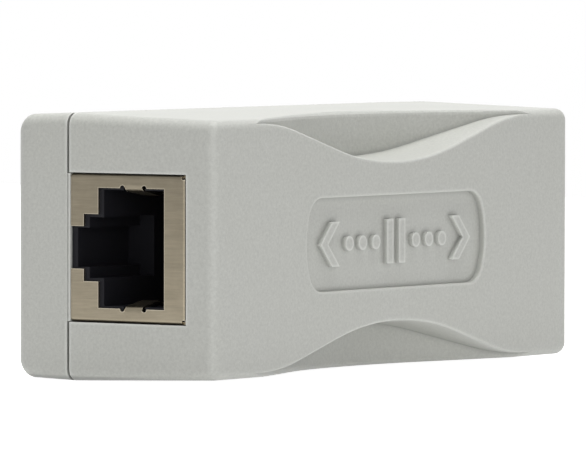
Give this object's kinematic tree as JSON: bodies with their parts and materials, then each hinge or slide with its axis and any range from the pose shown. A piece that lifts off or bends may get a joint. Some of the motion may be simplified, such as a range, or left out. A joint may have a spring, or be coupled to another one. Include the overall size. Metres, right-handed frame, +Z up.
{
  "type": "network isolator",
  "caption": "Inline network isolator: a light grey two-shell case with finger scoops, a sunk label field and a shielded modular socket in each end.",
  "frame": {"origin": "Under the middle of the case, in the plane that it stands on, midway along X and midway between the broad face and the rear cover", "axes": "+X along the case from the input socket to the output socket, +Y from the broad face with the label recess to the rear cover, +Z up"},
  "size_m": [0.066, 0.0252, 0.0272],
  "materials": {
    "case_plastic": "fine-textured light grey ABS",
    "board_laminate": "green solder mask over glass-fibre laminate",
    "shield_steel": "nickel-plated sheet",
    "socket_plastic": "black moulded polyester",
    "contact_gold": "gold-plated phosphor bronze",
    "ferrite": "dark grey sintered ferrite",
    "copper_wire": "enamelled copper wire",
    "resistor_ceramic": "black coated chip",
    "capacitor_ceramic": "tan sintered ceramic",
    "potting": "black epoxy",
    "pin_tin": "tinned wire"
  },
  "bodies": {
    "root": {"main_shell": "case_plastic", "rear_cover": "case_plastic", "circuit_board": "board_laminate", "input_socket_shield": "shield_steel", "input_socket_body": "socket_plastic", "input_contact_carrier": "socket_plastic", "input_contacts": "contact_gold", "input_choke_cores": "ferrite", "input_choke_windings": "copper_wire", "input_termination_resistors": "resistor_ceramic", "input_surge_capacitor": "capacitor_ceramic", "output_socket_shield": "shield_steel", "output_socket_body": "socket_plastic", "output_contact_carrier": "socket_plastic", "output_contacts": "contact_gold", "output_choke_cores": "ferrite", "output_choke_windings": "copper_wire", "output_termination_resistors": "resistor_ceramic", "output_surge_capacitor": "capacitor_ceramic", "upper_transformer_block": "potting", "upper_transformer_pins": "pin_tin", "lower_transformer_block": "potting", "lower_transformer_pins": "pin_tin"}
  },
  "joints": []
}
